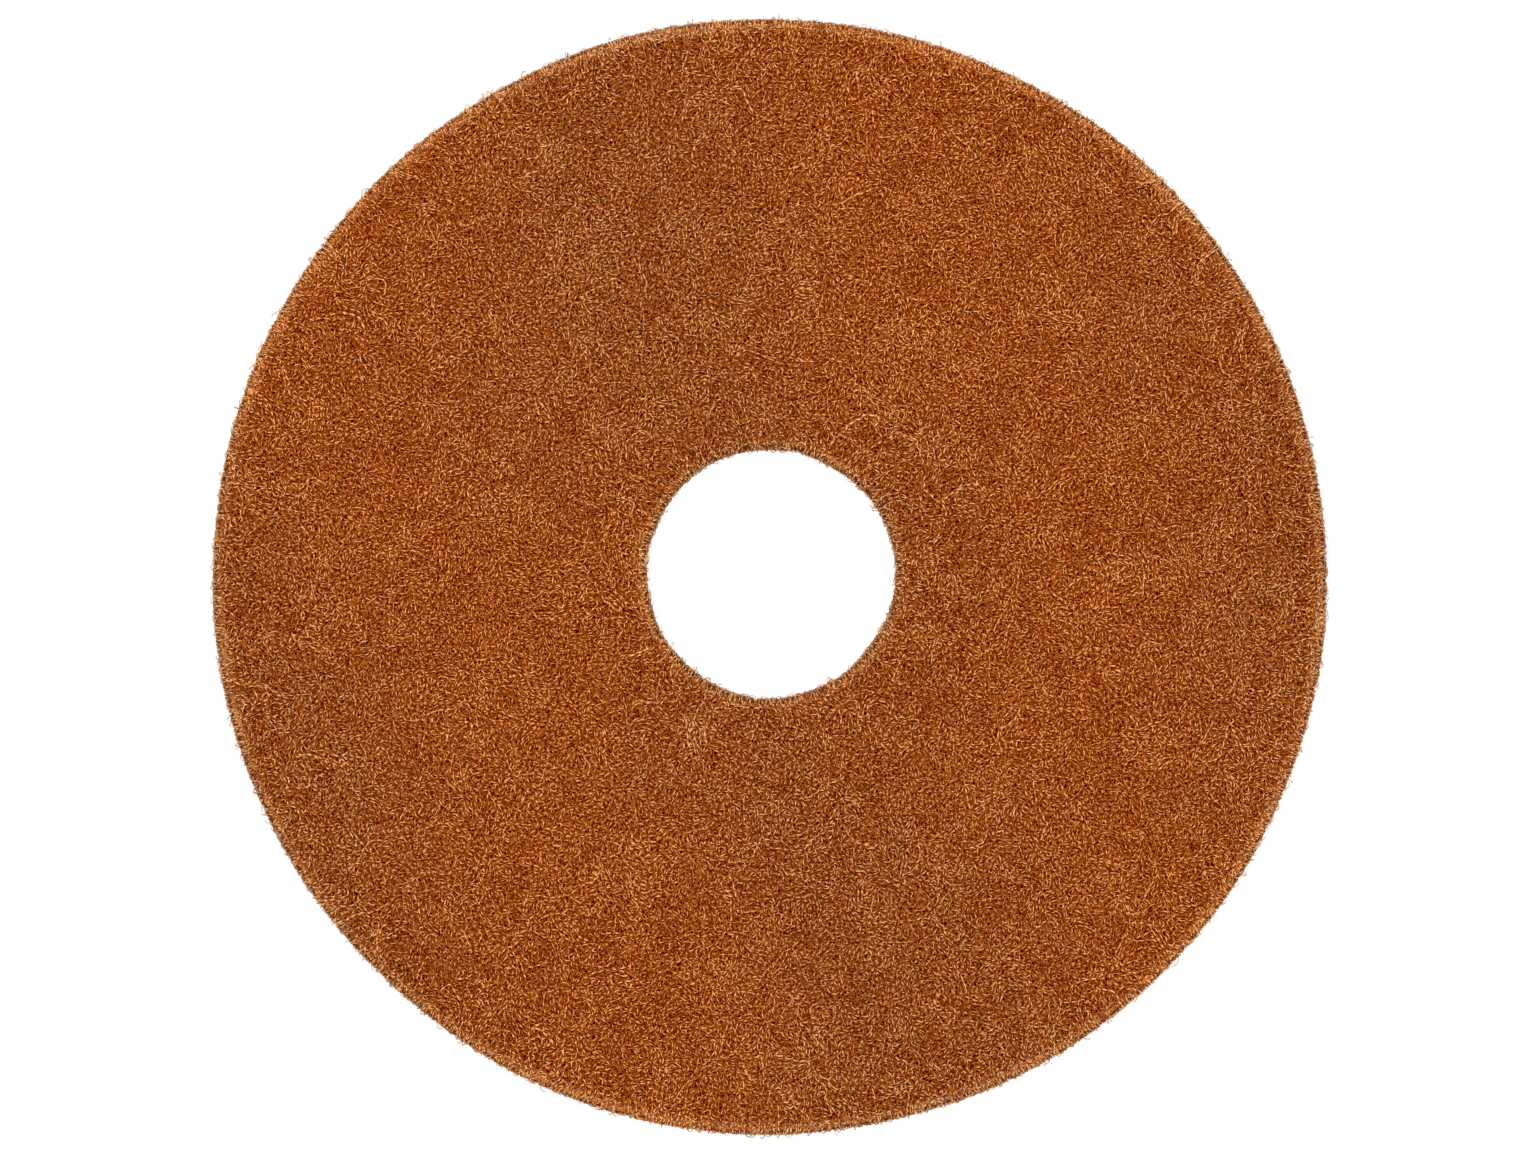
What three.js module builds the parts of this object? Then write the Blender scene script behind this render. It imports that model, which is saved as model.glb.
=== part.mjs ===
// A floor polishing pad: one thick round pad of curled, non-woven fibre with a centre hole.
// It lies flat as it does in use. Millimetres, +Z up. The origin is the centre of the underside,
// and Z is the axis that the pad spins about.
//
// The pad is punched out of a thick web, which gives it its form: the blade draws the web down
// along both cuts, so each edge is softly rounded, and the cut walls spring back a little between
// the faces. The cuts follow the loose web, so neither circle is quite true, and the lofty faces
// are clouded with shallow hollows between the level lands that a floor or a driver touches.

import * as THREE from "three";
import { ImprovedNoise } from "three/addons/math/ImprovedNoise.js";

// The pad
const PAD_DIAMETER = 381;
const PAD_THICKNESS = 25;
const HOLE_DIAMETER = 85;
const HOLE_OFFSET = { x: 0.25, y: 1.1 };

// The cut edges, alike on both faces
const EDGE_WIDTH = 7;
const EDGE_DROP = 3.6;
const WALL_BULGE = 0.7;

// How far the cuts wander from true circles: each wave goes round lobes times
const RIM_WAVES = [
  { lobes: 2, height: 0.14, phase: 2.8 },
  { lobes: 5, height: 0.15, phase: 2.7 },
  { lobes: 7, height: 0.14, phase: 0.5 },
  { lobes: 13, height: 0.12, phase: 1.4 },
];
const HOLE_WAVES = [
  { lobes: 3, height: 0.24, phase: -0.5 },
  { lobes: 4, height: 0.16, phase: -0.5 },
  { lobes: 8, height: 0.15, phase: 1.5 },
  { lobes: 11, height: 0.11, phase: -1.9 },
];

// The hollows of the lofty faces: how far apart, how deep, and what share of the depth is fine
const HOLLOW_PITCH = 17;
const HOLLOW_DEPTH = 2.4;
const FINE_SHARE = 0.5;
const TOP_LAYER = 0.5;
const BOTTOM_LAYER = 7.5;

// How finely the surface is made
const STEP_AT_HOLE = 4;
const STEP_AT_RIM = 8.2;
const STEPS_ACROSS_FACE = 17;
const STEPS_ROUND_EDGE = 3;
const STEPS_UP_WALL = 3;

const PAD_COLOUR = "#9a5223";
const PAD_ROUGHNESS = 0.9;

const RIM_RADIUS = PAD_DIAMETER / 2;
const HOLE_RADIUS = HOLE_DIAMETER / 2;

const web = new ImprovedNoise();

// Depth of the web below the level lands at a point of a face. Each face has a layer of its own.
function hollowDepth(x, y, layer) {
  const coarse = web.noise(x / HOLLOW_PITCH, y / HOLLOW_PITCH, layer);
  const fine = web.noise(2 * x / HOLLOW_PITCH, 2 * y / HOLLOW_PITCH, layer);
  return HOLLOW_DEPTH * Math.max(0, THREE.MathUtils.lerp(coarse, fine, FINE_SHARE));
}

function waveHeight(waves, angle) {
  return waves.reduce((sum, w) => sum + w.height * Math.cos(w.lobes * angle + w.phase), 0);
}

// One rounded corner of the section, from the wall to the face: a quarter of an ellipse.
// The signs say which way the pad lies from the wall, along the radius, and from the face, in height.
function edgePoints(wallRadius, radiusSign, faceHeight, heightSign) {
  return new THREE.EllipseCurve(
    wallRadius + radiusSign * EDGE_WIDTH,
    faceHeight + heightSign * EDGE_DROP,
    EDGE_WIDTH,
    EDGE_DROP,
    radiusSign > 0 ? Math.PI : 0,
    -heightSign * Math.PI / 2,
    radiusSign !== heightSign,
  ).getPoints(STEPS_ROUND_EDGE);
}

// The section of the pad as a closed loop of (radius, height), anticlockwise from the hole's wall.
function padSection() {
  const bottomHole = edgePoints(HOLE_RADIUS, 1, 0, 1);
  const bottomRim = edgePoints(RIM_RADIUS, -1, 0, 1).reverse();
  const topRim = edgePoints(RIM_RADIUS, -1, PAD_THICKNESS, -1);
  const topHole = edgePoints(HOLE_RADIUS, 1, PAD_THICKNESS, -1).reverse();
  return [
    ...bottomHole,
    ...between(bottomHole.at(-1), bottomRim[0], STEPS_ACROSS_FACE),
    ...bottomRim,
    ...between(bottomRim.at(-1), topRim[0], STEPS_UP_WALL),
    ...topRim,
    ...between(topRim.at(-1), topHole[0], STEPS_ACROSS_FACE),
    ...topHole,
    ...between(topHole.at(-1), bottomHole[0], STEPS_UP_WALL),
  ];
}

// The points that split the straight from a to b into steps, without its ends.
function between(a, b, steps) {
  return Array.from({ length: steps - 1 }, (_, i) => a.clone().lerp(b, (i + 1) / steps));
}

// Where the punched web has a point of the true round pad.
function punched(radius, angle, height) {
  const share = (radius - HOLE_RADIUS) / (RIM_RADIUS - HOLE_RADIUS);
  const fromHole = radius - HOLE_RADIUS;
  const fromRim = RIM_RADIUS - radius;

  const wander = THREE.MathUtils.lerp(
    waveHeight(HOLE_WAVES, angle),
    waveHeight(RIM_WAVES, angle),
    share,
  );
  const upWall = Math.sin(Math.PI * height / PAD_THICKNESS);
  const outward = fromRim < fromHole ? 1 : -1;
  const atWall = Math.max(0, 1 - Math.min(fromHole, fromRim) / EDGE_WIDTH);
  const moved = radius + wander + outward * WALL_BULGE * upWall * atWall;

  const x = moved * Math.cos(angle) + HOLE_OFFSET.x * (1 - share);
  const y = moved * Math.sin(angle) + HOLE_OFFSET.y * (1 - share);
  const onTop = height > PAD_THICKNESS / 2;
  const onFace = THREE.MathUtils.smoothstep(Math.min(fromHole, fromRim), EDGE_WIDTH, 2 * EDGE_WIDTH);
  const sunk = onFace * hollowDepth(x, y, onTop ? TOP_LAYER : BOTTOM_LAYER);
  return new THREE.Vector3(x, y, onTop ? height - sunk : height + sunk);
}

// How many points the ring through a point of the section has: more on a longer way round,
// so that the hollows are made alike all over the face.
function pointsAround(at) {
  const share = (at.x - HOLE_RADIUS) / (RIM_RADIUS - HOLE_RADIUS);
  const step = THREE.MathUtils.lerp(STEP_AT_HOLE, STEP_AT_RIM, share);
  return Math.round(2 * Math.PI * at.x / step);
}

// Fills the strip between two neighbouring rings with triangles that face out of the pad.
function stitch(ring, next, triangles) {
  let a = 0;
  let b = 0;
  while (a < ring.count || b < next.count) {
    const corner = ring.vertex(a);
    const across = next.vertex(b);
    const ringLags = b === next.count || (a < ring.count && ring.angle(a + 1) <= next.angle(b + 1));
    if (ringLags) {
      a += 1;
      triangles.push(corner, ring.vertex(a), across);
    } else {
      b += 1;
      triangles.push(corner, next.vertex(b), across);
    }
  }
}

// The section turned about Z, ring by ring, with each ring half a step on from the one before it.
function padGeometry() {
  const corners = [];
  const rings = padSection().map((at, i) => {
    const first = corners.length;
    const count = pointsAround(at);
    const angle = (k) => 2 * Math.PI * (k + (i % 2) / 2) / count;
    for (let k = 0; k < count; k++) {
      corners.push(punched(at.x, angle(k), at.y));
    }
    return { count, angle, vertex: (k) => first + k % count };
  });
  const triangles = [];
  rings.forEach((ring, i) => stitch(ring, rings[(i + 1) % rings.length], triangles));
  const pad = new THREE.BufferGeometry().setFromPoints(corners);
  pad.setIndex(triangles);
  pad.computeVertexNormals();
  return pad;
}

const fibre = new THREE.MeshStandardMaterial({
  color: PAD_COLOUR,
  roughness: PAD_ROUGHNESS,
  metalness: 0,
});

const pad = new THREE.Mesh(padGeometry(), fibre);
pad.name = "fibre_pad";

const part = new THREE.Group();
part.add(pad);

export default part;
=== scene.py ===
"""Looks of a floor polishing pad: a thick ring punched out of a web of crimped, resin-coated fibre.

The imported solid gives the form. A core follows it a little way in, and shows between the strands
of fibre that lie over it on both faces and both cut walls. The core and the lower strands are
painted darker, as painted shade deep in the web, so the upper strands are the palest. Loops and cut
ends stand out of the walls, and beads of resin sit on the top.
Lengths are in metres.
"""

import math
from dataclasses import dataclass

import bmesh
import bpy
import numpy as np
from mathutils import Matrix, Vector, noise
from mathutils.bvhtree import BVHTree


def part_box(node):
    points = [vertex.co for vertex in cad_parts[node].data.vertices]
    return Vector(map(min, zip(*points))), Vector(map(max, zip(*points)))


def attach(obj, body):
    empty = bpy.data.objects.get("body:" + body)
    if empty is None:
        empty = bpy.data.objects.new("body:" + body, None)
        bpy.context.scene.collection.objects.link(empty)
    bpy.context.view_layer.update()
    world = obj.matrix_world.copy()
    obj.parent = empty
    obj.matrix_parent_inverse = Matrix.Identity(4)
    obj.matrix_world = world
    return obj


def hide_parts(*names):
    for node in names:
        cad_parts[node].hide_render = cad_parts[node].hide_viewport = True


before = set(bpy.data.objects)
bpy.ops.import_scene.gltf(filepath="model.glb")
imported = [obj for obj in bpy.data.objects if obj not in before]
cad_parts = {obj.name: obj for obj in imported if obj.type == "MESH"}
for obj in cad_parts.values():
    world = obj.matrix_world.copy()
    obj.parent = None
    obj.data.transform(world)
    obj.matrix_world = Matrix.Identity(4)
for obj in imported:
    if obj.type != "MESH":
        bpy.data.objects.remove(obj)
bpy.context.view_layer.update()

MM = 0.001
NODE = "fibre_pad"
BODY = "root"
SEED = 41

LOW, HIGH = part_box(NODE)
THICKNESS = HIGH.z
RIM_RADIUS = (HIGH.x - LOW.x) / 2
HOLE_RADIUS = 42.5 * MM
HOLE_CENTRE = Vector((0.25 * MM, 1.1 * MM, 0))

# How much the hole is eased, because the loops that stand into it make it look smaller
HOLE_EASE = 0.55 * MM

# Corners of the solid that lie closer than this are one corner
WELD = 0.01 * MM

# How level the form is, from 0 to 1: at least so much on a face, and at most so much on a wall
LEVEL_ON_FACE = 0.4
LEVEL_ON_WALL = 0.5

# The band along each cut, where the blade drew the web together. The core lies less deep there, and
# the resin is paler and greyer, in a narrower and weaker band round the hole: partly the pressed web's
# own colour, and partly painted light on the rounded edge, which turns away from the lamp overhead.
# That colour fades down the walls between two depths below a face.
EDGE_BAND = 6 * MM
EDGE_BAND_AT_HOLE = 4 * MM
EDGE_SHARE_AT_HOLE = 0.9
EDGE_DROP = (3.0 * MM, 4.5 * MM)
EDGE_PALER = 0.36
EDGE_GREYER = 0.35
EDGE_COLOUR = (0.70, 0.30, 0.13)

# The core: how far under the surface it lies, and its lumps
CORE_DEPTH = 2.1 * MM
CORE_DEPTH_AT_EDGE = 1.0 * MM
CORE_LUMP = 0.5 * MM
CORE_LUMP_PITCH = 6 * MM

# How a strand runs. A bend is how sharply it turns, in radians a metre, and a strand has a share of
# the bend that is its own. It keeps a turn for a while.
STRAND_POINTS = 40
BEND = 1100
BEND_SHARES = (0.4, 1.4)
BEND_KEPT_OVER = 1.0 * MM

# The turns to either side of its bend that a strand may make for room, and what a turn of one radian
# costs, counted as crowding
TURN_CHOICES = np.radians((-50, -25, 0, 25, 50))
TURN_COST = 0.15

# How a strand feels for free room: the size of the cubes it counts strands in, how far ahead it
# looks, and how much that weighs. The small cubes part neighbours, the large ones fill thin places.
FEELERS = ((0.7 * MM, 0.8 * MM, 1.0), (1.5 * MM, 1.6 * MM, 0.5), (4.0 * MM, 4.0 * MM, 0.25))

# What a strand adds to the crowd where it lies lowest in the web. On top it adds 1 more.
LOW_STRAND_CROWDS = 0.2

# The waves in which a strand weaves up and down: their length, and how fast it goes through them
# where it likes its height and where it doesn't
WAVE = 2.8 * MM
SPEED_TO_STAY = 0.6
SPEED_TO_LEAVE = 1.7

# How far a strand rolls over to and fro, over what length, and the share of it that is its own
ROLL = math.radians(35)
ROLL_LENGTH = 3.0 * MM
ROLL_SHARES = (0.6, 1.5)

# How much strands differ in width, and how wide their ends are, as a share
WIDTH_SPREAD = 0.2
TIP_TAPER = 0.7

# Sections of a strand, as places across it and up from it, in widths: a ribbon for one that lies
# among the others, and a triangle for one that stands out by itself
RIBBON = ((-0.5, 0.0), (0.5, 0.0))
TRIANGLE = tuple((math.cos(a) / 2, math.sin(a) / 2) for a in np.radians((210, 90, -30)))

# Loops and cut ends of fibre that stand out of the cut walls. A loop is an arch or part of one, and
# it starts at its root below the surface.
LOOPS = 900
LOOP_POINTS = 6
LOOP_WIDTH = 0.3 * MM
LOOP_SPAN = (1.5 * MM, 4.0 * MM)
LOOP_PART = (0.5, 1)
LOOP_RISE = 0.35 * MM
LOOP_RISE_MOST = 1.7 * MM
LOOP_ROOT = 0.5 * MM

# Beads of resin on the strands, and their height as a share of their width
BEADS = 1000
BEAD_RADIUS = (0.18 * MM, 0.34 * MM)
BEAD_FLATNESS = 0.6

# The tone of a strand, from 0, dark, to 1, pale: on top of the web and at the greatest depth in it,
# and how much strands differ. The fall of tone with depth is painted shade, for the light that reaches
# less far down into the web; the spread between strands is their own.
TONE_ON_TOP = 0.88
TONE_IN_DEEP_SHADE = 0.15
DEEPEST = 1.6 * MM
TONE_SPREAD = 0.14

# What is added to the tone along the middle of a strand, and at its two sides: a painted highlight
# and painted shade, that make a flat strand look round
PAINTED_CREST_HIGHLIGHT = 0.14
PAINTED_SIDE_SHADE = -0.3

# The colours of resin over fibre by tone: nearly black brown, through amber, to pale tan
RESIN_COLOURS = (
    (0.0, (0.08, 0.001, 0.0)),
    (0.2, (0.22, 0.016, 0.0)),
    (0.45, (0.43, 0.103, 0.011)),
    (0.7, (0.74, 0.285, 0.080)),
    (1.0, (0.90, 0.510, 0.250)),
)
BEAD_TONES = (0.75, 1.05)

# The net of curled lines round open pores, as it shows in the colour: how wide a pore is, and then,
# in widths of a pore, how much the lines curl, over what length, and how wide they are. The tones of
# pores and lines are added to the strands' own tone, and are all the tone that the core has. The lines
# stand for fibres in the web; the dark of the pores is painted shade of the holes down into it, and
# on the strands painted shadow of strands lying over them.
PORE_SIZE = 1.05 * MM
NET_CURL = 1.2
NET_CURL_SIZE = 1.1
NET_LINE = 0.3
STRAND_NET_TONES = (-0.3, 0.1)
CORE_NET_TONES = (-0.1, 0.55)

# Patches that lean to another hue, and how strongly
PATCH_SIZE = 4 * MM
PATCH_SHARE = 0.12

# Broad bands where the dye took more or less: which way they follow each other and how far apart,
# how far they wander, and the tints that the colour is multiplied by
DYE_WAY = (1.0, 0.35, 0.0)
DYE_BANDS = 230 * MM
DYE_WANDER = 110 * MM
BROWNER = (0.90, 0.98, 1.0)
REDDER = (1.0, 0.97, 0.80)

# The range that most of a shader's noise lies in
CLOUD_RANGE = (0.3, 0.7)

# The map for the strands' colours: every strand has a cell of its own, with a margin in it
MAP_NAME = "OFBake"
MAP_COLUMNS = 10
MAP_MARGIN = 0.0008

# The photograph: its size, and where the outline of the pad lies in it, in pixels
PHOTO_WIDTH = 1536
PHOTO_HEIGHT = 1152
OUTLINE_RADIUS = 557.2
OUTLINE_CENTRE = (769.9, 576.8)

# The studio. The sensor is in millimetres and the lamp's energy in watts.
CAMERA_HEIGHT = 4.0
CAMERA_REACH = 50
SENSOR = 36.0
LAMP_HEIGHT = 3.0
LAMP_SIZE = 0.9
LAMP_SHIFT = 0.35
LAMP_ENERGY = 79
SKY_STRENGTH = 0.44
FLOOR_SIZE = 12.0
FLOOR_COLOUR = (0.95, 0.95, 0.95, 1)
FLOOR_GLOW = 0.97
WHITE = (1, 1, 1, 1)


@dataclass
class Web:
    """One piece made of strands: the face they start on, and how many triangles they have in all.

    A strand has a width, a step from each of its points to the next, and a least and a greatest
    depth under the surface of the form.
    """

    name: str
    face: str
    triangles: int
    width: float
    step: float
    depth: tuple


WEBS = [
    Web("web_deep", "top", 196_000, 0.41 * MM, 0.57 * MM, (0.3 * MM, 1.6 * MM)),
    Web("web_middle", "top", 196_000, 0.39 * MM, 0.54 * MM, (0.1 * MM, 1.5 * MM)),
    Web("web_upper", "top", 196_000, 0.37 * MM, 0.54 * MM, (-0.1 * MM, 1.5 * MM)),
    Web("web_underside", "bottom", 140_000, 0.7 * MM, 1.1 * MM, (0.0 * MM, 1.4 * MM)),
    Web("web_walls", "walls", 120_000, 0.5 * MM, 0.8 * MM, (-0.1 * MM, 1.2 * MM)),
]


def smoothed_form():
    """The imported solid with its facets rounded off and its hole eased, as a mesh."""
    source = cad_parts[NODE]
    form = bpy.data.objects.new("form", source.data.copy())
    bpy.context.collection.objects.link(form)
    merged = bmesh.new()
    merged.from_mesh(form.data)
    bmesh.ops.remove_doubles(merged, verts=merged.verts, dist=WELD)
    merged.to_mesh(form.data)
    merged.free()

    smoothing = form.modifiers.new("Smoothing", "SUBSURF")
    smoothing.levels = 1
    depsgraph = bpy.context.evaluated_depsgraph_get()
    mesh = bpy.data.meshes.new_from_object(form.evaluated_get(depsgraph))
    bpy.data.objects.remove(form)
    for corner in mesh.vertices:
        outward = (corner.co - HOLE_CENTRE) * Vector((1, 1, 0))
        near = 1 - (outward.length - HOLE_RADIUS) / EDGE_BAND
        corner.co += outward.normalized() * HOLE_EASE * min(1, max(0, near))
    return mesh


class Surface:
    """The outside of the form: its nearest points, and places on it taken at random."""

    def __init__(self, mesh):
        mesh.calc_loop_triangles()
        self.corners = np.empty((len(mesh.vertices), 3))
        mesh.vertices.foreach_get("co", self.corners.ravel())
        self.triangles = np.empty((len(mesh.loop_triangles), 3), dtype=np.int32)
        mesh.loop_triangles.foreach_get("vertices", self.triangles.ravel())
        self.tree = BVHTree.FromPolygons(self.corners.tolist(), self.triangles.tolist())

        first, second, third = self.corners[self.triangles].transpose(1, 0, 2)
        across = np.cross(second - first, third - first)
        size = np.linalg.norm(across, axis=1, keepdims=True)
        self.areas = size[:, 0] / 2
        upward = (across / size)[:, 2]
        self.faces = {
            "top": upward > LEVEL_ON_FACE,
            "bottom": upward < -LEVEL_ON_FACE,
            "walls": np.abs(upward) < LEVEL_ON_WALL,
        }

    def nearest(self, points):
        """The surface's nearest point to each point, and its normal there."""
        found = [self.tree.find_nearest(point)[:2] for point in points.tolist()]
        places = np.array([place[:] for place, _ in found])
        normals = np.array([normal[:] for _, normal in found])
        return places, normals

    def scattered(self, face, count, rng):
        """Points spread evenly over one face of the pad."""
        reached = np.cumsum(self.areas * self.faces[face])
        spots = (np.arange(count) + rng.random(count)) * reached[-1] / count
        chosen = self.triangles[np.searchsorted(reached, spots)]
        along, across = rng.random((2, count, 1))
        over = along + across > 1
        along, across = np.where(over, 1 - along, along), np.where(over, 1 - across, across)
        first, second, third = self.corners[chosen].transpose(1, 0, 2)
        return first + along * (second - first) + across * (third - first)


class Crowd:
    """How closely the strands lie already, counted in cubes of space."""

    def __init__(self, cube):
        self.cube = cube
        self.low = np.array(LOW) - 4 * cube
        span = np.array(HIGH) + 4 * cube - self.low
        self.count = np.zeros(np.ceil(span / cube).astype(int), dtype=np.float32)

    def cubes(self, points):
        """The eight cubes round each point, each with the point's share in it."""
        at = (points - self.low) / self.cube - 0.5
        base = np.floor(at).astype(int)
        share = at - base
        for corner in np.ndindex(2, 2, 2):
            yield tuple((base + corner).T), np.prod(np.where(corner, share, 1 - share), axis=1)

    def add(self, points, weights):
        for cube, share in self.cubes(points):
            np.add.at(self.count, cube, weights * share)

    def at(self, points):
        return sum(share * self.count[cube] for cube, share in self.cubes(points))


def unit(vectors):
    return vectors / np.linalg.norm(vectors, axis=-1, keepdims=True)


def turned(heading, normal, angle):
    """The heading turned about the normal."""
    return heading * np.cos(angle) + np.cross(normal, heading) * np.sin(angle)


def crowding_ahead(crowds, place, way):
    """How crowded it is that way from each place."""
    return sum(weight * crowd.at(place + far * way) for crowd, (_, far, weight) in zip(crowds, FEELERS))


def freest_way(crowds, place, normal, heading, turn):
    """The way on from each place that is best for room, and how crowded it is."""
    ways = np.stack([turned(heading, normal, turn + choice) for choice in TURN_CHOICES])
    crowding = np.stack([crowding_ahead(crowds, place, way) for way in ways])
    crowding += TURN_COST * np.abs(TURN_CHOICES)[:, None]
    return ways[np.argmin(crowding, axis=0), np.arange(len(place))], crowding.min(axis=0)


def crimped_paths(surface, crowds, starts, step, rng):
    """Paths that wander over the surface, as (path, point, xyz), the normals there, and the heights.

    At each step a path bends as its crimp would have it, and then a little further to either side
    where that leads it into a less crowded place. It weaves through the others as well, in waves:
    its height in the web, 0 to 1, turns sooner where it is high on a crowded way or low on a free one.
    """
    count = len(starts)
    bend = BEND * rng.uniform(*BEND_SHARES, (count, 1))
    kept = math.exp(-step / BEND_KEPT_OVER)
    turn = bend * rng.normal(size=(count, 1))
    heading = rng.normal(size=(count, 3))
    place = starts
    phase = rng.uniform(0, 2 * math.pi, count)
    places = []
    normals = []
    heights = []
    for _ in range(STRAND_POINTS):
        place, normal = surface.nearest(place)
        height = 0.5 - 0.5 * np.cos(phase)
        for crowd in crowds:
            crowd.add(place, LOW_STRAND_CROWDS + height)
        places.append(place)
        normals.append(normal)
        heights.append(height)
        turn = kept * turn + math.sqrt(1 - kept**2) * bend * rng.normal(size=(count, 1))
        heading = unit(heading - normal * np.sum(heading * normal, axis=1, keepdims=True))
        heading, crowding = freest_way(crowds, place, normal, heading, turn * step)
        place = place + heading * step
        crowded = crowding > np.median(crowding)
        speed = np.where(crowded == (height > 0.5), SPEED_TO_LEAVE, SPEED_TO_STAY)
        phase = phase + 2 * math.pi * step / WAVE * speed
    return np.stack(places, axis=1), np.stack(normals, axis=1), np.stack(heights, axis=1)


def rolling(count, step, rng):
    """How far each point of each strand is rolled over, which goes to and fro along it."""
    along = np.arange(STRAND_POINTS) * step
    phase = rng.uniform(0, 2 * math.pi, (count, 1))
    length = ROLL_LENGTH * rng.uniform(*ROLL_SHARES, (count, 1))
    return ROLL * np.sin(2 * math.pi * along / length + phase)


def strand_pattern(points, section_size, closed):
    """Triangles of one strand with a tip at each end, and the place of each corner on its map."""
    first_tip = points * section_size
    last_tip = first_tip + 1
    last_ring = first_tip - section_size
    sides = section_size if closed else section_size - 1
    triangles = []
    places = []
    for side in range(sides):
        after = (side + 1) % section_size
        for ring in range(points - 1):
            here = ring * section_size
            ahead = here + section_size
            near, far = ring + 1, ring + 2
            triangles += [
                (here + side, here + after, ahead + after),
                (here + side, ahead + after, ahead + side),
            ]
            places += [
                ((near, side), (near, side + 1), (far, side + 1)),
                ((near, side), (far, side + 1), (far, side)),
            ]
        triangles += [
            (first_tip, after, side),
            (last_ring + side, last_ring + after, last_tip),
        ]
        places += [
            ((0, side + 0.5), (1, side + 1), (1, side)),
            ((points, side), (points, side + 1), (points + 1, side + 0.5)),
        ]
    return np.array(triangles), np.array(places, dtype=float) / (points + 1, sides)


def strand_corners(centres, normals, widths, section, roll):
    """The corners of each strand: its section at each point of its path, then its two tips."""
    count, points, _ = centres.shape
    ahead = unit(np.gradient(centres, axis=1))
    level = unit(np.cross(normals, ahead))
    across = turned(level, ahead, roll[..., None])
    upward = np.cross(ahead, across)

    taper = np.ones(points)
    taper[[0, -1]] = TIP_TAPER
    size = (widths[:, None] * taper)[..., None]
    rings = [centres + size * (aside * across + rise * upward) for aside, rise in section]
    rings = np.stack(rings, axis=2).reshape(count, points * len(section), 3)
    reach = widths[:, None] / 2
    tips = np.stack([centres[:, 0] - ahead[:, 0] * reach, centres[:, -1] + ahead[:, -1] * reach], axis=1)
    return np.concatenate([rings, tips], axis=1)


def placed_on_map(count, pattern_map):
    """Places on the map for all strands, each in a cell of its own."""
    rows = math.ceil(count / MAP_COLUMNS)
    cell = np.array([1 / MAP_COLUMNS, 1 / rows])
    strands = np.arange(count)
    cell_corners = np.stack([strands % MAP_COLUMNS, strands // MAP_COLUMNS], axis=1) * cell
    return cell_corners[:, None, None] + MAP_MARGIN + pattern_map[None] * (cell - 2 * MAP_MARGIN)


def strand_mesh(name, centres, normals, widths, section, tone, roll):
    """One mesh of strands along the given paths, with the tone and the roll of each point.

    The pad lies on the floor, so no strand goes below it.
    """
    count, points, _ = centres.shape
    centres[..., 2] = np.maximum(centres[..., 2], widths[:, None] / 2)
    corners = strand_corners(centres, normals, widths, section, roll)
    tones = np.concatenate([np.repeat(tone, len(section), axis=1), tone[:, [0, -1]]], axis=1)
    sides = np.array([2 * aside for aside, _ in section] * points + [0, 0])

    pattern, pattern_map = strand_pattern(points, len(section), section is TRIANGLE)
    each = corners.shape[1]
    triangles = pattern[None] + each * np.arange(count)[:, None, None]
    places = placed_on_map(count, pattern_map)

    mesh = bpy.data.meshes.new(name)
    mesh.vertices.add(count * each)
    mesh.vertices.foreach_set("co", corners.ravel())
    mesh.loops.add(triangles.size)
    mesh.loops.foreach_set("vertex_index", triangles.ravel())
    mesh.polygons.add(triangles.size // 3)
    mesh.polygons.foreach_set("loop_start", np.arange(0, triangles.size, 3))
    mesh.update(calc_edges=True)
    mesh.shade_smooth()
    mesh.uv_layers.new(name=MAP_NAME).data.foreach_set("uv", places.ravel())
    mesh.attributes.new("tone", "FLOAT", "POINT").data.foreach_set("value", tones.ravel())
    mesh.attributes.new("side", "FLOAT", "POINT").data.foreach_set("value", np.tile(sides, count))
    return mesh


def add_piece(name, mesh, material):
    """Makes a piece of the pad from a mesh."""
    piece = bpy.data.objects.new(name, mesh)
    bpy.context.collection.objects.link(piece)
    mesh.materials.clear()
    mesh.materials.append(material)
    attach(piece, BODY)
    return piece


def add_web(web, surface, crowds, material, rng):
    """Strands that weave through the web, and roll over as they go."""
    # A ribbon has two triangles for each of its points, with those of its tips
    count = web.triangles // (2 * STRAND_POINTS)
    starts = surface.scattered(web.face, count, rng)
    roll = rolling(count, web.step, rng)
    places, normals, height = crimped_paths(surface, crowds, starts, web.step, rng)
    least, most = web.depth
    depth = most + (least - most) * height
    centres = places - normals * depth[..., None]
    widths = web.width * np.exp(WIDTH_SPREAD * rng.normal(size=count))
    # Deeper strands are painted darker: painted shade of the web above them
    tone = TONE_ON_TOP + (TONE_IN_DEEP_SHADE - TONE_ON_TOP) * depth / DEEPEST
    tone += TONE_SPREAD * (rng.random((count, 1)) - 0.5)
    add_piece(web.name, strand_mesh(web.name, centres, normals, widths, RIBBON, tone, roll), material)


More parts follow.
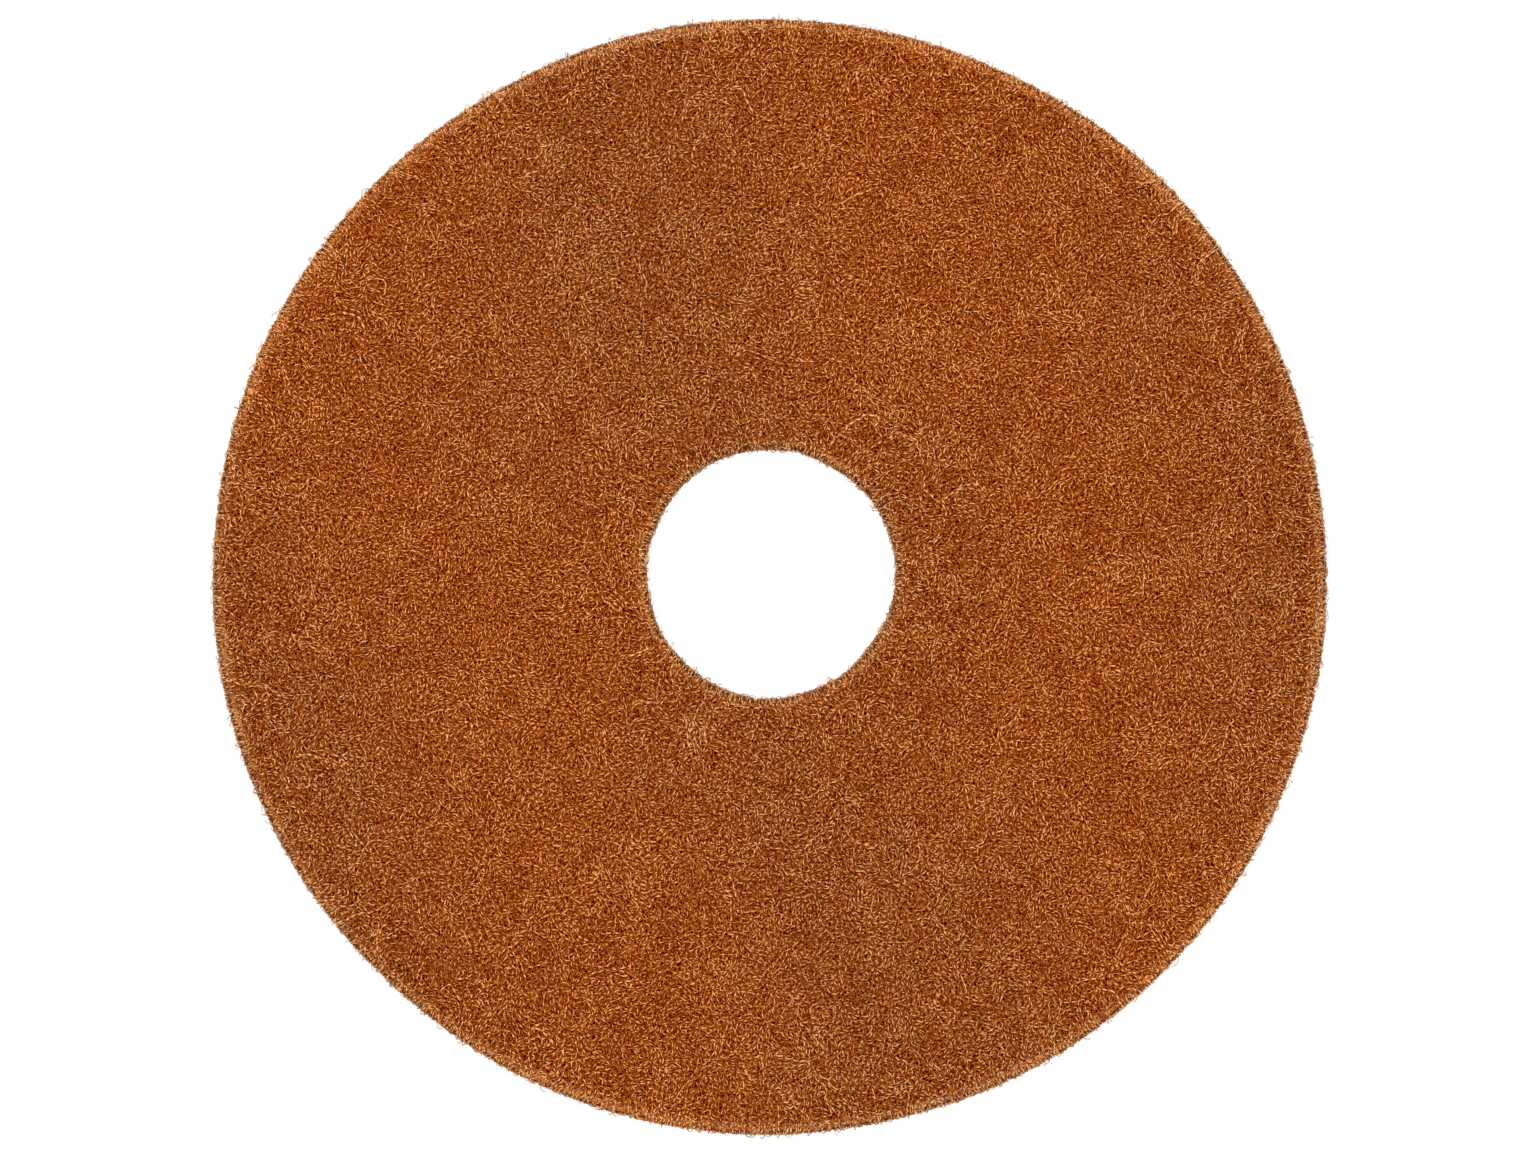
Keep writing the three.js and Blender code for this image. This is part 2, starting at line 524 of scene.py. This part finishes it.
def add_loops(surface, material, rng):
    """Loops and cut ends that stand out of the walls, each an arch or part of one."""
    name = "web_loops"
    starts, normals = surface.nearest(surface.scattered("walls", LOOPS, rng))
    sideways = unit(np.cross(normals, rng.normal(size=(LOOPS, 3))))
    span = rng.uniform(*LOOP_SPAN, (LOOPS, 1, 1))
    rise = np.minimum(rng.exponential(LOOP_RISE, (LOOPS, 1, 1)) + LOOP_RISE / 2, LOOP_RISE_MOST)
    along = np.linspace(0, 1, LOOP_POINTS)[None, :, None]
    part = rng.uniform(*LOOP_PART, (LOOPS, 1, 1))
    centres = starts[:, None] + sideways[:, None] * span * (along - 0.5)
    centres += normals[:, None] * ((LOOP_ROOT + rise) * np.sin(math.pi * part * along) - LOOP_ROOT)
    normals = np.repeat(normals[:, None], LOOP_POINTS, axis=1)
    widths = LOOP_WIDTH * np.exp(WIDTH_SPREAD * rng.normal(size=LOOPS))
    tone = np.full((LOOPS, LOOP_POINTS), TONE_ON_TOP)
    roll = np.zeros((LOOPS, LOOP_POINTS))
    add_piece(name, strand_mesh(name, centres, normals, widths, TRIANGLE, tone, roll), material)


def add_beads(surface, material, rng):
    """Drops of resin that set on the uppermost strands of the top face."""
    places, _ = surface.nearest(surface.scattered("top", BEADS, rng))
    drops = bmesh.new()
    for place, radius in zip(places, rng.uniform(*BEAD_RADIUS, BEADS)):
        shape = Matrix.Translation(place) @ Matrix.Diagonal((radius, radius, BEAD_FLATNESS * radius, 1))
        bmesh.ops.create_icosphere(drops, subdivisions=1, radius=1, matrix=shape)
    mesh = bpy.data.meshes.new("resin_beads")
    drops.to_mesh(mesh)
    drops.free()
    mesh.shade_smooth()
    add_piece("resin_beads", mesh, material)


def add_core(form, material):
    """The inside of the web, which shows between the strands; its material paints it dark, as painted
    shade deep in the web.
    """
    core = bmesh.new()
    core.from_mesh(form)
    core.normal_update()
    moved = []
    for corner in core.verts:
        radius = corner.co.xy.length
        from_hole = (corner.co - HOLE_CENTRE).xy.length - HOLE_RADIUS
        inside = min(RIM_RADIUS - radius, from_hole) / EDGE_BAND
        depth = CORE_DEPTH_AT_EDGE + (CORE_DEPTH - CORE_DEPTH_AT_EDGE) * min(1, max(0, inside))
        lump = noise.noise(corner.co / CORE_LUMP_PITCH)
        moved.append(corner.co - corner.normal * (depth + CORE_LUMP * lump))
    for corner, place in zip(core.verts, moved):
        corner.co = place
    mesh = bpy.data.meshes.new("web_core")
    core.to_mesh(mesh)
    core.free()
    mesh.shade_smooth()
    return add_piece("web_core", mesh, material)


def node(tree, kind, inputs=None, **settings):
    """Adds a shader node, and sets or links its inputs."""
    made = tree.nodes.new(kind)
    for name, value in settings.items():
        setattr(made, name, value)
    for name, value in (inputs or {}).items():
        if isinstance(value, bpy.types.NodeSocket):
            tree.links.new(value, made.inputs[name])
        else:
            made.inputs[name].default_value = value
    return made


def mixed(tree, factor, first, second, blend="MIX"):
    """A colour between two others. Colours are given as sockets or as red, green and blue."""
    made = tree.nodes.new("ShaderNodeMix")
    made.data_type = "RGBA"
    made.blend_type = blend
    for name, value in (("Factor_Float", factor), ("A_Color", first), ("B_Color", second)):
        socket = next(s for s in made.inputs if s.identifier == name)
        if isinstance(value, bpy.types.NodeSocket):
            tree.links.new(value, socket)
        elif isinstance(value, tuple):
            socket.default_value = (*value, 1)
        else:
            socket.default_value = value
    return next(s for s in made.outputs if s.identifier == "Result_Color")


def ramp(tree, factor, stops):
    """A colour that runs through the given stops of place and colour."""
    made = node(tree, "ShaderNodeValToRGB", {"Fac": factor})
    elements = made.color_ramp.elements
    while len(elements) < len(stops):
        elements.new(0.5)
    for element, (place, colour) in zip(elements, stops):
        element.position = place
        element.color = (*colour, 1)
    return made.outputs["Color"]


def scaled(tree, value, low, high, to_low=0.0, to_high=1.0):
    """A number brought from one range to another, and kept in it."""
    made = node(
        tree,
        "ShaderNodeMapRange",
        {"Value": value, "From Min": low, "From Max": high, "To Min": to_low, "To Max": to_high},
    )
    return made.outputs["Result"]


def maths(tree, operation, first, second=0.0):
    return node(tree, "ShaderNodeMath", {0: first, 1: second}, operation=operation).outputs["Value"]


def vector_maths(tree, operation, output, *inputs):
    made = node(tree, "ShaderNodeVectorMath", dict(enumerate(inputs)), operation=operation)
    return made.outputs[output]


def attribute(tree, name):
    return node(tree, "ShaderNodeAttribute", attribute_name=name).outputs["Fac"]


def cloud(tree, place, size, detail=2.0, output="Fac"):
    """Smooth noise with features of about the given size."""
    made = node(tree, "ShaderNodeTexNoise", {"Vector": place, "Scale": 1 / size, "Detail": detail})
    return made.outputs[output]


def net(tree, place):
    """Curled lines round open pores: 1 along the lines, 0 in the pores."""
    curl = cloud(tree, place, NET_CURL_SIZE * PORE_SIZE, 0.0, "Color")
    curled = vector_maths(tree, "MULTIPLY_ADD", "Vector", curl, (NET_CURL * PORE_SIZE,) * 3, place)
    cells = node(
        tree,
        "ShaderNodeTexVoronoi",
        {"Vector": curled, "Scale": 1 / PORE_SIZE},
        feature="DISTANCE_TO_EDGE",
    )
    return scaled(tree, cells.outputs["Distance"], NET_LINE, 0.0)


def near_edge(tree, place):
    """1 along the edges of both faces, falling to 0 a band's width from them and on the cut walls."""
    flat = vector_maths(tree, "MULTIPLY", "Vector", place, (1, 1, 0))
    radius = vector_maths(tree, "LENGTH", "Value", flat)
    from_hole = vector_maths(tree, "DISTANCE", "Value", flat, tuple(HOLE_CENTRE))
    at_rim = scaled(tree, radius, RIM_RADIUS - EDGE_BAND, RIM_RADIUS)
    wall = HOLE_RADIUS + HOLE_EASE
    at_hole = scaled(tree, from_hole, wall + EDGE_BAND_AT_HOLE, wall, 0, EDGE_SHARE_AT_HOLE)
    height = node(tree, "ShaderNodeSeparateXYZ", {"Vector": place}).outputs["Z"]
    from_middle = maths(tree, "ABSOLUTE", maths(tree, "SUBTRACT", height, THICKNESS / 2))
    least, most = EDGE_DROP
    on_face = scaled(tree, from_middle, THICKNESS / 2 - most, THICKNESS / 2 - least)
    return maths(tree, "MULTIPLY", on_face, maths(tree, "MAXIMUM", at_rim, at_hole))


def dyed(tree, colour, place):
    """The colour with broad bands across the pad that are redder or browner."""
    across = vector_maths(tree, "DOT_PRODUCT", "Value", place, DYE_WAY)
    wander = scaled(tree, cloud(tree, place, DYE_WANDER), *CLOUD_RANGE, -DYE_WANDER / 3, DYE_WANDER / 3)
    turns = maths(tree, "MULTIPLY", maths(tree, "ADD", across, wander), 2 * math.pi / DYE_BANDS)
    redness = scaled(tree, maths(tree, "COSINE", turns), 1, -1)
    return mixed(tree, 1.0, colour, mixed(tree, redness, BROWNER, REDDER), "MULTIPLY")


def resin_colour(tree, tone, place):
    """The colour of resin over fibre of the given tone.

    Patches a few strands wide lean to yellow, orange or pink, and the edges of the faces are paler and
    greyer: partly their own colour, partly painted light on the rounded edges.
    """
    edge = near_edge(tree, place)
    # The paler edges are partly the pressed web's colour and partly painted light
    edge = maths(tree, "MULTIPLY", edge, edge)
    paler = maths(tree, "MULTIPLY", edge, EDGE_PALER)
    colour = ramp(tree, maths(tree, "ADD", tone, paler), RESIN_COLOURS)
    patches = cloud(tree, place, PATCH_SIZE, output="Color")
    colour = mixed(tree, PATCH_SHARE, colour, patches, "SOFT_LIGHT")
    colour = dyed(tree, colour, place)
    return mixed(tree, scaled(tree, edge, 0, 1, 0, EDGE_GREYER), colour, EDGE_COLOUR)


def new_material(name):
    """A material with its nodes, the place on the object as a socket, and its shader."""
    material = bpy.data.materials.new(name)
    material.use_nodes = True
    tree = material.node_tree
    place = node(tree, "ShaderNodeTexCoord").outputs["Object"]
    return material, tree, place, tree.nodes["Principled BSDF"]


def add_relief(tree, shader, height, strength, depth):
    """Bump on a shader's surface."""
    bump = node(tree, "ShaderNodeBump", {"Height": height, "Strength": strength, "Distance": depth})
    tree.links.new(bump.outputs["Normal"], shader.inputs["Normal"])


def add_grain(tree, shader, place, size, roughness, strength, depth):
    """Fine grain of the given size, as uneven roughness and as bump."""
    grain = cloud(tree, place, size)
    tree.links.new(scaled(tree, grain, *CLOUD_RANGE, *roughness), shader.inputs["Roughness"])
    add_relief(tree, shader, grain, strength, depth)


def strand_material():
    """Crimped fibre under a coat of amber resin. A flat strand is painted pale along its middle and dark
    down its sides: a painted highlight and painted shade that make it look round.
    """
    material, tree, place, shader = new_material("resin_coated_strands")
    side = attribute(tree, "side")
    # Painted highlight along the middle of the ribbon, painted shade down its sides
    crest_and_side_shading = scaled(tree, maths(tree, "MULTIPLY", side, side), 0, 1, PAINTED_CREST_HIGHLIGHT, PAINTED_SIDE_SHADE)
    tone = maths(tree, "ADD", attribute(tree, "tone"), crest_and_side_shading)
    # The net's pores darken the strands: painted shadow of the strands over them
    tone = maths(tree, "ADD", tone, scaled(tree, net(tree, place), 0, 1, *STRAND_NET_TONES))
    tree.links.new(resin_colour(tree, tone, place), shader.inputs["Base Color"])
    shader.inputs["Specular IOR Level"].default_value = 0.15
    shader.inputs["Specular Tint"].default_value = (1.0, 0.62, 0.32, 1)
    add_grain(tree, shader, place, 0.5 * MM, (0.4, 0.65), 0.3, 0.1 * MM)
    return material


def bead_material():
    """Drops of clear yellow resin over fibre: the palest specks of the pad."""
    material, tree, place, shader = new_material("resin_drops")
    tone = scaled(tree, cloud(tree, place, 1.5 * MM), *CLOUD_RANGE, *BEAD_TONES)
    tree.links.new(resin_colour(tree, tone, place), shader.inputs["Base Color"])
    add_grain(tree, shader, place, 0.3 * MM, (0.2, 0.4), 0.2, 0.05 * MM)
    return material


def core_material():
    """The inside of the web: brown strands over deep pores, all painted darker than the strands above as
    painted shade, and the pores darkest.
    """
    material, tree, place, shader = new_material("web_inside")
    strands = net(tree, place)
    # The core's tones stay below those of the strands on top: painted shade of the inside of the web
    tone = scaled(tree, strands, 0, 1, *CORE_NET_TONES)
    tree.links.new(resin_colour(tree, tone, place), shader.inputs["Base Color"])
    shader.inputs["Roughness"].default_value = 0.7
    shader.inputs["Specular IOR Level"].default_value = 0.0
    add_relief(tree, shader, strands, 0.9, 0.5 * MM)
    return material


def shown_to_camera(tree):
    """1 for the rays that show a background: straight from the camera, mirrored or passed through."""
    rays = node(tree, "ShaderNodeLightPath").outputs
    straight = maths(tree, "MAXIMUM", rays["Is Camera Ray"], rays["Is Glossy Ray"])
    return maths(tree, "MAXIMUM", straight, rays["Is Transmission Ray"])


def floor_material():
    """Plain white, shown to the camera near full white, with a faint shadow of the pad."""
    material, tree, _, shader = new_material("floor")
    shader.inputs["Base Color"].default_value = FLOOR_COLOUR
    shader.inputs["Roughness"].default_value = 0.9
    shader.inputs["Specular IOR Level"].default_value = 0.0
    glow = node(tree, "ShaderNodeEmission", {"Color": WHITE, "Strength": 1.0})
    share = scaled(tree, shown_to_camera(tree), 0, 1, 0, FLOOR_GLOW)
    both = node(
        tree,
        "ShaderNodeMixShader",
        {"Fac": share, 1: shader.outputs["BSDF"], 2: glow.outputs["Emission"]},
    )
    tree.links.new(both.outputs["Shader"], tree.nodes["Material Output"].inputs["Surface"])
    return material


def add_floor():
    """The plain floor that the pad lies on."""
    sheet = bmesh.new()
    bmesh.ops.create_grid(sheet, x_segments=1, y_segments=1, size=FLOOR_SIZE / 2)
    mesh = bpy.data.meshes.new("floor")
    sheet.to_mesh(mesh)
    sheet.free()
    floor = bpy.data.objects.new("floor", mesh)
    bpy.context.collection.objects.link(floor)
    floor.data.materials.append(floor_material())


def add_camera():
    """Looks straight down, with the pad's outline at the photograph's size and place."""
    lens = bpy.data.cameras.new("camera")
    lens.sensor_fit = "HORIZONTAL"
    lens.sensor_width = SENSOR
    pixel = RIM_RADIUS / OUTLINE_RADIUS
    lens.lens = SENSOR * (CAMERA_HEIGHT - THICKNESS / 2) / (PHOTO_WIDTH * pixel)
    lens.clip_end = CAMERA_REACH
    camera = bpy.data.objects.new("camera", lens)
    camera.location = (
        (PHOTO_WIDTH / 2 - OUTLINE_CENTRE[0]) * pixel,
        (OUTLINE_CENTRE[1] - PHOTO_HEIGHT / 2) * pixel,
        CAMERA_HEIGHT,
    )
    bpy.context.collection.objects.link(camera)
    bpy.context.scene.camera = camera


def add_light():
    """A soft lamp overhead, a little towards the top of the photograph, and an even sky."""
    light = bpy.data.lights.new("softbox", "AREA")
    light.shape = "SQUARE"
    light.size = LAMP_SIZE
    light.energy = LAMP_ENERGY
    lamp = bpy.data.objects.new("softbox", light)
    lamp.location = (0, LAMP_SHIFT, LAMP_HEIGHT)
    lamp.rotation_euler = Vector((0, LAMP_SHIFT, LAMP_HEIGHT)).to_track_quat("Z", "Y").to_euler()
    lamp.visible_camera = False
    bpy.context.collection.objects.link(lamp)

    world = bpy.data.worlds.new("sky")
    bpy.context.scene.world = world
    world.use_nodes = True
    tree = world.node_tree
    background = tree.nodes["Background"]
    strength = scaled(tree, shown_to_camera(tree), 0, 1, SKY_STRENGTH, 1)
    tree.links.new(strength, background.inputs["Strength"])
    background.inputs["Color"].default_value = WHITE


def main():
    bpy.context.scene.view_settings.view_transform = "Standard"
    add_floor()
    add_camera()
    add_light()

    rng = np.random.default_rng(SEED)
    form = smoothed_form()
    surface = Surface(form)
    core = add_core(form, core_material())
    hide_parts(NODE)
    strands = strand_material()
    crowds = [Crowd(cube) for cube, _, _ in FEELERS]
    for web in WEBS:
        add_web(web, surface, crowds, strands, rng)
    add_loops(surface, strands, rng)
    add_beads(surface, bead_material(), rng)


main()
bpy.context.view_layer.update()
